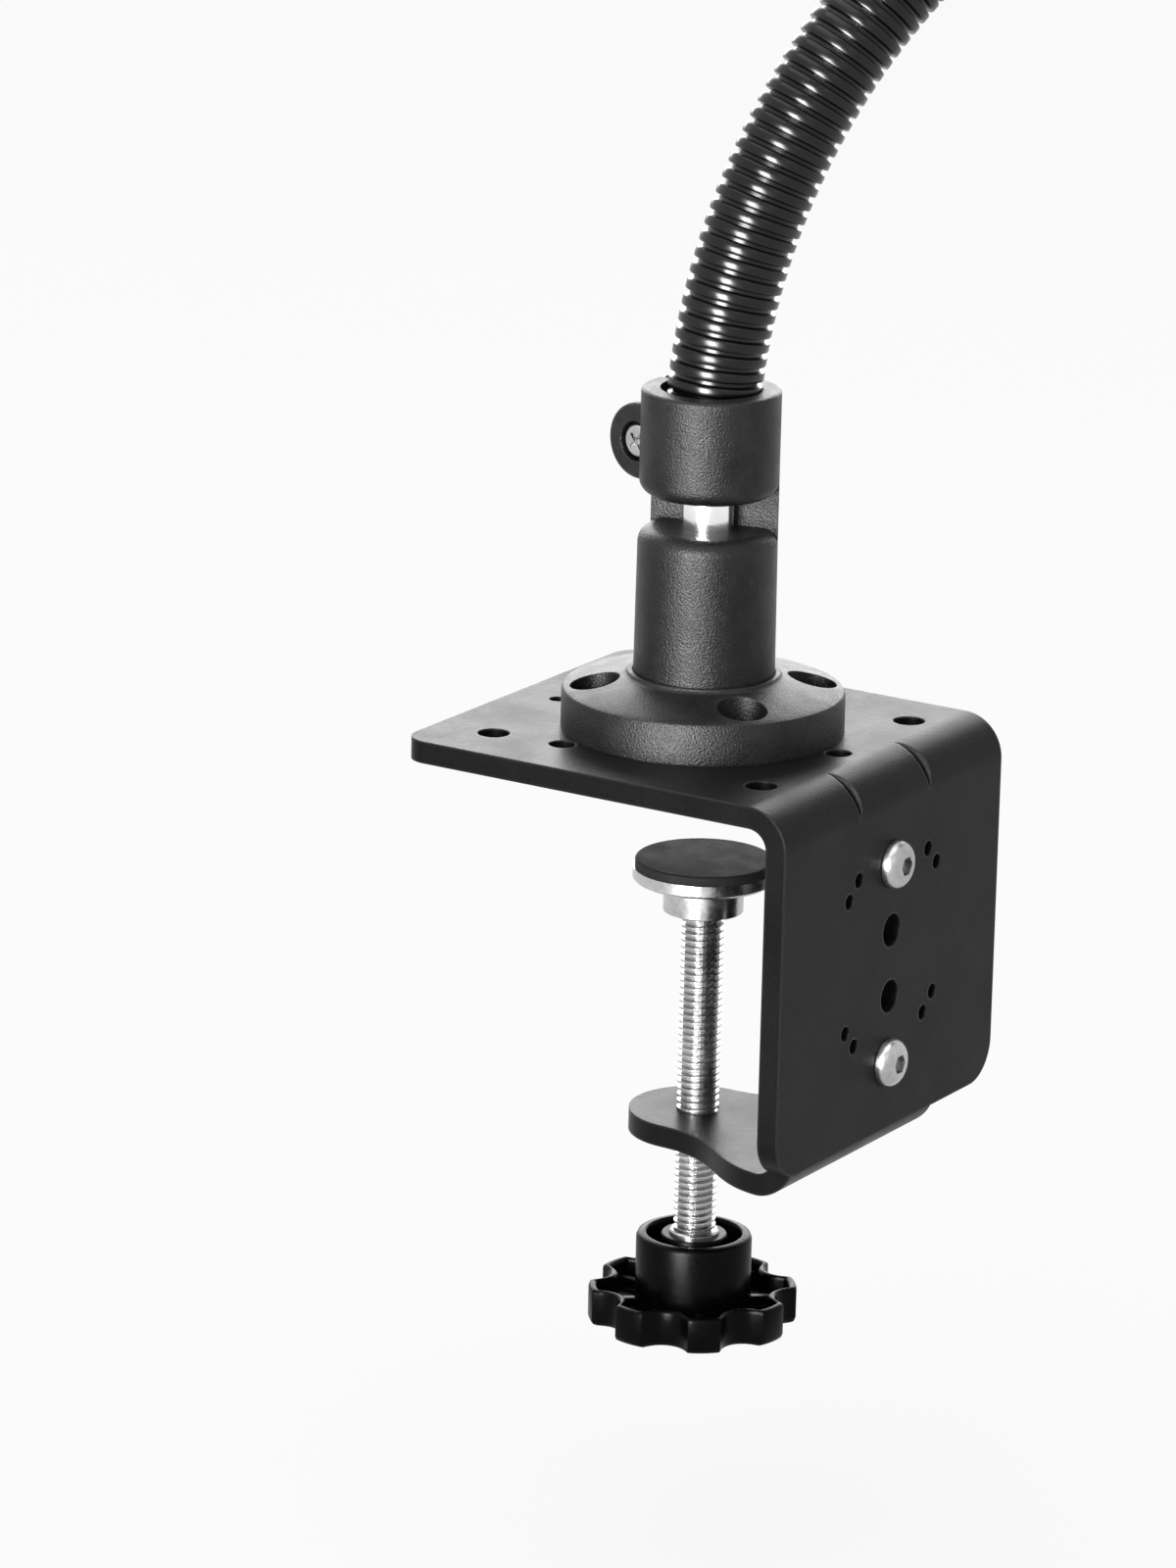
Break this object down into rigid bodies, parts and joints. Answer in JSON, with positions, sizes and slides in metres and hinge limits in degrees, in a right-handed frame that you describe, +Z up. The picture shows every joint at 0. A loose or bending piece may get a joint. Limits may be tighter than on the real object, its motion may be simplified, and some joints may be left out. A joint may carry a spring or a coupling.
{
  "type": "gooseneck tablet clamp mount",
  "caption": "Bent steel desk clamp with a screw and knob, a round flanged socket post, a corrugated gooseneck arm and a sprung tablet cradle.",
  "frame": {"origin": "centre of the top plate's corner hole pattern on its underside, where the desk's top surface lies, below the post", "axes": "+Z up along the post, +Y in over the desk, away from the front plate"},
  "size_m": [0.265, 0.2231, 0.4201],
  "materials": {
    "powder_steel": "black powder coat, satin",
    "moulded_plastic": "black glass-filled plastic, matte",
    "cover_plastic": "black corrugated plastic, glossy",
    "knob_plastic": "black moulded plastic, semi gloss",
    "zinc_steel": "zinc plated",
    "bright_steel": "bright turned steel",
    "black_steel": "black oxide",
    "rubber": "black rubber"
  },
  "bodies": {
    "clamp": {"bent_plate": "powder_steel", "flange_base": "moulded_plastic", "flange_screws": "black_steel", "socket_post": "moulded_plastic", "post_screw": "black_steel", "pinch_screw": "black_steel", "pinch_nut": "zinc_steel", "clamp_bracket": "powder_steel", "bracket_screws": "zinc_steel", "bracket_nuts": "zinc_steel"},
    "pad": {"pressure_plate": "zinc_steel", "pad_face": "rubber", "pad_clip": "bright_steel"},
    "spindle": {"clamp_spindle": "zinc_steel", "spindle_collar": "zinc_steel", "hand_knob": "knob_plastic"},
    "neck_foot": {"base_ferrule": "bright_steel", "core_link_1": "bright_steel", "gooseneck_cover": "cover_plastic"},
    "neck_2": {"core_link_2": "bright_steel"},
    "neck_3": {"core_link_3": "bright_steel"},
    "neck_4": {"core_link_4": "bright_steel"},
    "neck_5": {"core_link_5": "bright_steel"},
    "neck_6": {"core_link_6": "bright_steel"},
    "neck_tip": {"core_link_7": "bright_steel", "top_ferrule": "bright_steel"},
    "head": {"head_socket": "moulded_plastic", "head_pinch_screw": "black_steel", "head_pinch_nut": "zinc_steel", "tilt_bolt": "zinc_steel"},
    "lock_knob": {"tilt_knob": "knob_plastic"},
    "cradle": {"tilt_tongue": "moulded_plastic", "cradle_back": "moulded_plastic", "cradle_screws": "black_steel", "bore_plugs": "moulded_plastic", "return_springs": "bright_steel", "lower_pads": "rubber", "back_pad": "rubber"},
    "jaw": {"cradle_slide": "moulded_plastic", "guide_rods": "bright_steel", "rod_stops": "bright_steel", "upper_pads": "rubber"}
  },
  "joints": [
    {"name": "clamp_travel", "type": "slide", "parent": "clamp", "child": "pad", "axis": [0, 0, 1], "range_m": [-0.0455, 0.022]},
    {"name": "spindle_turn", "type": "hinge", "parent": "pad", "child": "spindle", "pos_m": [0, -0.0015, -0.037], "axis": [0, 0, 1], "range_deg": [-10319, 4990]},
    {"name": "base_swivel", "type": "hinge", "parent": "clamp", "child": "neck_foot", "pos_m": [0, 0, 0.0605], "axis": [0, 0, 1], "continuous": true},
    {"name": "lower_bend", "type": "hinge", "parent": "neck_foot", "child": "neck_2", "pos_m": [0.00304, -0.00213, 0.10043], "axis": [0.5736, 0.8192, 0], "range_deg": [-15, 7.5], "deforming": ["gooseneck_cover"]},
    {"name": "lower_bend_2", "type": "hinge", "parent": "neck_2", "child": "neck_3", "pos_m": [0.01201, -0.00841, 0.13171], "axis": [0.5736, 0.8192, 0], "range_deg": [-15, 7.5], "deforming": ["gooseneck_cover"]},
    {"name": "lower_bend_3", "type": "hinge", "parent": "neck_3", "child": "neck_4", "pos_m": [0.02645, -0.01852, 0.15978], "axis": [0.5736, 0.8192, 0], "range_deg": [-15, 7.5], "deforming": ["gooseneck_cover"]},
    {"name": "upper_bend", "type": "hinge", "parent": "neck_4", "child": "neck_5", "pos_m": [0.04565, -0.03196, 0.18321], "axis": [0.5736, 0.8192, 0], "range_deg": [-15, 7.5], "deforming": ["gooseneck_cover"]},
    {"name": "upper_bend_2", "type": "hinge", "parent": "neck_5", "child": "neck_6", "pos_m": [0.06863, -0.04806, 0.20084], "axis": [0.5736, 0.8192, 0], "range_deg": [-15, 7.5], "deforming": ["gooseneck_cover"]},
    {"name": "upper_bend_3", "type": "hinge", "parent": "neck_6", "child": "neck_tip", "pos_m": [0.09426, -0.066, 0.21179], "axis": [0.5736, 0.8192, 0], "range_deg": [-15, 7.5], "deforming": ["gooseneck_cover"]},
    {"name": "head_swivel", "type": "hinge", "parent": "neck_tip", "child": "head", "pos_m": [0.12697, -0.0889, 0.2155], "axis": [0.8192, -0.5736, 0], "continuous": true},
    {"name": "head_tilt", "type": "hinge", "parent": "head", "child": "cradle", "pos_m": [0.16301, -0.11414, 0.2155], "axis": [0, 0, 1], "range_deg": [-35, 145]},
    {"name": "lock_knob_turn", "type": "hinge", "parent": "head", "child": "lock_knob", "pos_m": [0.16301, -0.11414, 0.2155], "axis": [0, 0, 1], "range_deg": [-90, 180]},
    {"name": "jaw_slide", "type": "slide", "parent": "cradle", "child": "jaw", "axis": [0, 0, 1], "range_m": [0, 0.07], "stiffness_N_per_m": 120, "springref_m": -0.1, "deforming": ["return_springs"]}
  ],
  "couplings": [
    {"joint": "spindle_turn", "follows": "clamp_travel", "rad_per_m": 3957.9},
    {"joint": "lower_bend_2", "follows": "lower_bend", "ratio": 1},
    {"joint": "lower_bend_3", "follows": "lower_bend", "ratio": 1},
    {"joint": "upper_bend_2", "follows": "upper_bend", "ratio": 1},
    {"joint": "upper_bend_3", "follows": "upper_bend", "ratio": 1}
  ]
}
